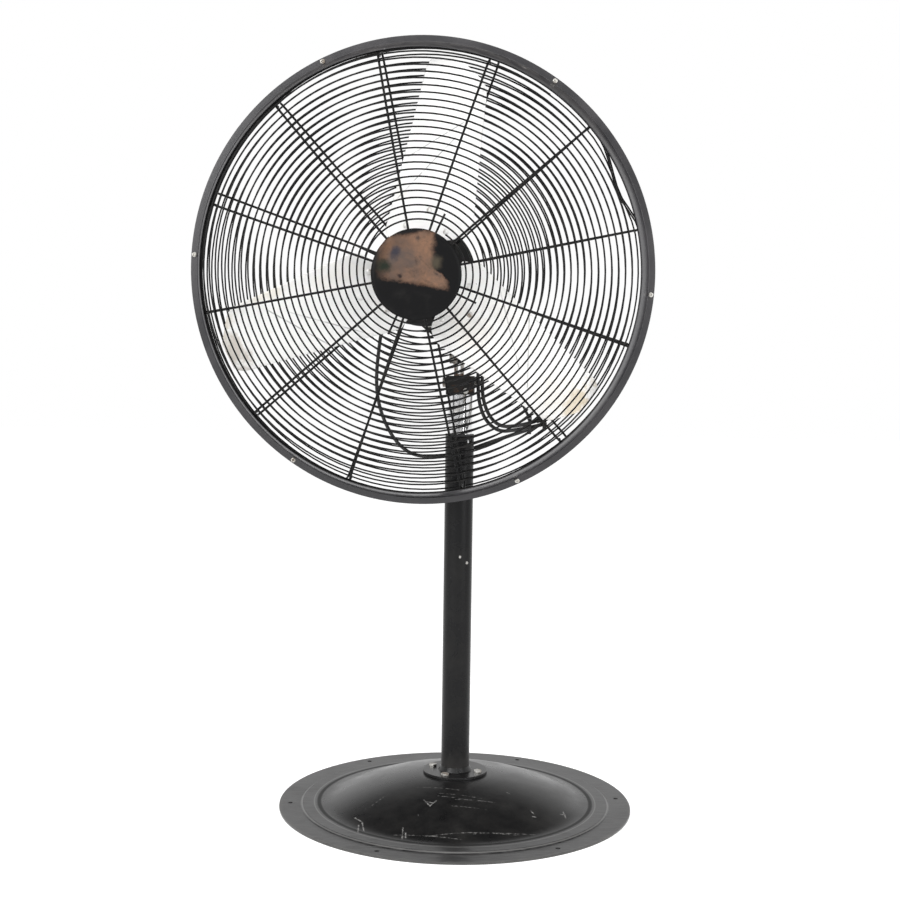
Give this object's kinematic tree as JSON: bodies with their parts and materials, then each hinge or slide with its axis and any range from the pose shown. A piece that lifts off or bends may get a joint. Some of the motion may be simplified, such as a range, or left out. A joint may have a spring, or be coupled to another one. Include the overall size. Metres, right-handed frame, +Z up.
{
  "type": "pedestal fan",
  "caption": "Pedestal fan with a round domed base, a telescoping column, a tilting caged head, paddle blades and a tied-up cord.",
  "frame": {"origin": "centre of the round base on the floor, which is the centre of its circle of rim holes", "axes": "+Z up, the fan blows towards -Y, +X to the right of someone facing the cage"},
  "size_m": [0.727, 0.6015, 1.2547],
  "materials": {
    "base_paint": "worn dark grey enamel, chipped and dusty",
    "column_paint": "black enamel with small chips",
    "zinc_plate": "dull zinc plate",
    "rusty_zinc": "zinc plate going rusty",
    "black_plastic": "matt black",
    "nylon": "smooth black nylon",
    "mast_chrome": "bright chrome with faint scratches",
    "clamp_paint": "black paint with brown rust",
    "motor_paint": "black enamel",
    "motor_iron": "laminated electrical steel",
    "copper": "enamelled copper wire",
    "bearing_steel": "polished",
    "capacitor_case": "pale plastic can",
    "blade_aluminium": "pale pressed sheet with dirty tan tips",
    "spider_steel": "grey pressed steel",
    "band_enamel": "satin black enamel",
    "wire_enamel": "black coated wire",
    "disc_enamel": "black with a brown worn patch",
    "cord_rubber": "black rubber sheath",
    "plug_rubber": "moulded black rubber",
    "plug_brass": "plain brass"
  },
  "bodies": {
    "base": {"base_plate": "base_paint", "column_flange": "base_paint", "flange_bolts": "zinc_plate", "outer_column": "column_paint", "column_bush": "black_plastic"},
    "height_lock": {"lock_stud": "zinc_plate", "lock_knob": "black_plastic"},
    "mast": {"inner_mast": "mast_chrome", "mast_guide": "black_plastic"},
    "swivel": {"head_clamp": "clamp_paint", "pinch_bolt": "zinc_plate", "locating_screw": "zinc_plate", "tilt_clevis": "rusty_zinc", "tilt_bolt": "zinc_plate"},
    "head": {"tilt_bracket": "motor_paint", "cradle_bolts": "zinc_plate", "motor_front_bell": "motor_paint", "motor_shell": "motor_paint", "motor_rear_bell": "motor_paint", "stator_core": "motor_iron", "stator_windings": "copper", "motor_bearings": "bearing_steel", "terminal_box": "black_plastic", "terminal_cover": "black_plastic", "run_capacitor": "capacitor_case", "lead_grommet": "cord_rubber", "switch_housing": "black_plastic", "speed_switch": "black_plastic", "guard_band": "band_enamel", "band_screws": "zinc_plate", "front_guard_spiral": "wire_enamel", "front_guard_outer_turns": "wire_enamel", "front_guard_spokes": "wire_enamel", "rear_guard_spiral": "wire_enamel", "rear_guard_outer_turns": "wire_enamel", "rear_guard_spokes": "wire_enamel", "rear_guard_plate": "motor_paint", "guard_bolts": "zinc_plate", "hub_disc": "disc_enamel", "disc_clamp_ring": "wire_enamel", "disc_studs": "zinc_plate", "disc_tie_wires": "wire_enamel", "power_cord": "cord_rubber", "spare_lead": "cord_rubber", "lead_cap": "plug_rubber", "cord_coil": "cord_rubber", "power_plug": "plug_rubber", "plug_prongs": "plug_brass", "cable_ties": "nylon"},
    "rotor": {"rotor_shaft": "bearing_steel", "rotor_core": "motor_iron", "blade_hub": "spider_steel", "hub_set_screw": "zinc_plate", "blade_spider": "spider_steel", "blade_1": "blade_aluminium", "blade_2": "blade_aluminium", "blade_3": "blade_aluminium", "blade_rivets": "zinc_plate"},
    "switch": {"switch_spindle": "bearing_steel", "switch_knob": "black_plastic"}
  },
  "joints": [
    {"name": "lock_knob_turn", "type": "hinge", "parent": "base", "child": "height_lock", "pos_m": [0, 0.05, 0.505], "axis": [0, 1, 0], "range_deg": [-330, 0]},
    {"name": "mast_slide", "type": "slide", "parent": "base", "child": "mast", "axis": [0, 0, 1], "range_m": [-0.06, 0.15]},
    {"name": "head_swivel", "type": "hinge", "parent": "mast", "child": "swivel", "pos_m": [0, 0, 0.72], "axis": [0, 0, 1], "range_deg": [-90, 90]},
    {"name": "head_tilt", "type": "hinge", "parent": "swivel", "child": "head", "pos_m": [-0.0025, 0, 0.764], "axis": [1, 0, 0], "range_deg": [-45, 8], "deforming": ["power_cord", "spare_lead"]},
    {"name": "blade_spin", "type": "hinge", "parent": "head", "child": "rotor", "pos_m": [-0.0573, -0.22248, 0.88851], "axis": [0, -0.9976, -0.0698], "continuous": true},
    {"name": "speed_knob_turn", "type": "hinge", "parent": "head", "child": "switch", "pos_m": [-0.0573, 0.0718, 0.90909], "axis": [0, -0.9976, -0.0698], "range_deg": [0, 135]}
  ]
}
